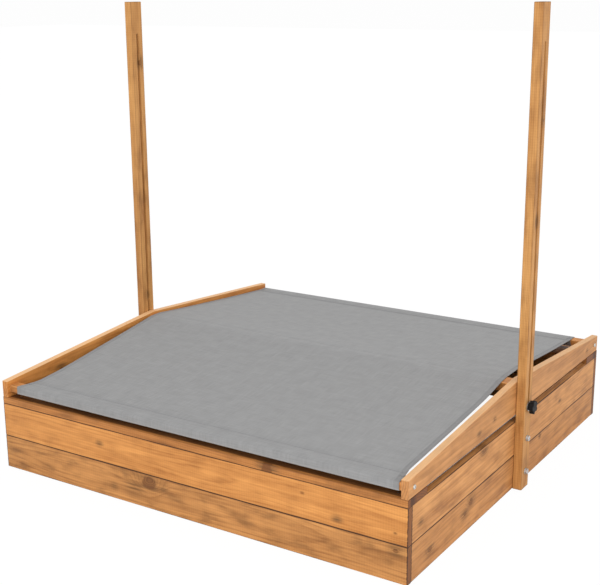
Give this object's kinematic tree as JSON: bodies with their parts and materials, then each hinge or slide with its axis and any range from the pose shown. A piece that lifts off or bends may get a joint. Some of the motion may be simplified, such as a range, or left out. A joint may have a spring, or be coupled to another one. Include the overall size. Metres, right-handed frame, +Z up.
{
  "type": "sandbox with cover",
  "caption": "Square wooden sandbox with front and rear seats and a pitched grey fabric cover that lifts on slotted side posts, clamped by star knobs.",
  "frame": {"origin": "middle of the sandbox footprint, on the ground", "axes": "+X along the front wall to the right, across both posts; +Y to the rear; +Z up"},
  "size_m": [1.2844, 1.2, 1.2],
  "materials": {
    "plank_wood": "stained planed pine, matt",
    "seat_wood": "stained planed pine, matt",
    "block_wood": "stained planed pine, matt",
    "post_wood": "stained planed pine, matt",
    "cover_frame_wood": "stained planed pine, matt",
    "cover_fabric": "coated woven polyester, matt grey",
    "bolt_steel": "zinc plated",
    "screw_steel": "zinc plated",
    "knob_plastic": "moulded black, satin",
    "insert_brass": "turned"
  },
  "bodies": {
    "sandbox": {"front_left_corner_block": "block_wood", "front_plank_lower": "plank_wood", "front_plank_upper": "plank_wood", "front_right_corner_block": "block_wood", "front_seat": "seat_wood", "front_seat_screws": "screw_steel", "front_wall_screws": "screw_steel", "left_plank_lower": "plank_wood", "left_plank_upper": "plank_wood", "left_post": "post_wood", "left_post_bolts": "bolt_steel", "left_post_nuts": "bolt_steel", "left_post_washers": "bolt_steel", "left_wall_screws": "screw_steel", "rear_left_corner_block": "block_wood", "rear_plank_lower": "plank_wood", "rear_plank_upper": "plank_wood", "rear_right_corner_block": "block_wood", "rear_seat": "seat_wood", "rear_seat_screws": "screw_steel", "rear_wall_screws": "screw_steel", "right_plank_lower": "plank_wood", "right_plank_upper": "plank_wood", "right_post": "post_wood", "right_post_bolts": "bolt_steel", "right_post_nuts": "bolt_steel", "right_post_washers": "bolt_steel", "right_wall_screws": "screw_steel"},
    "lift_carriage": {"left_clamp_bolt": "bolt_steel", "right_clamp_bolt": "bolt_steel", "left_clamp_washers": "bolt_steel", "right_clamp_washers": "bolt_steel"},
    "cover": {"left_gable": "cover_frame_wood", "right_gable": "cover_frame_wood", "front_bar": "cover_frame_wood", "middle_bar": "cover_frame_wood", "rear_bar": "cover_frame_wood", "front_bar_screws": "screw_steel", "middle_bar_screws": "screw_steel", "rear_bar_screws": "screw_steel", "cover_fabric": "cover_fabric"},
    "left_clamp_knob": {"left_knob": "knob_plastic", "left_knob_insert": "insert_brass"},
    "right_clamp_knob": {"right_knob": "knob_plastic", "right_knob_insert": "insert_brass"}
  },
  "joints": [
    {"name": "roof_lift", "type": "slide", "parent": "sandbox", "child": "lift_carriage", "axis": [0, 0, 1], "range_m": [0, 0.886]},
    {"name": "roof_tilt", "type": "hinge", "parent": "lift_carriage", "child": "cover", "pos_m": [0, 0, 0.2203], "axis": [1, 0, 0], "range_deg": [0, 20]},
    {"name": "left_knob_turn", "type": "hinge", "parent": "lift_carriage", "child": "left_clamp_knob", "pos_m": [-0.636, 0, 0.2203], "axis": [-1, 0, 0], "range_deg": [0, 360]},
    {"name": "right_knob_turn", "type": "hinge", "parent": "lift_carriage", "child": "right_clamp_knob", "pos_m": [0.636, 0, 0.2203], "axis": [1, 0, 0], "range_deg": [0, 360]}
  ],
  "couplings": [
    {"joint": "roof_tilt", "follows": "roof_lift", "rad_per_m": 0.393}
  ]
}
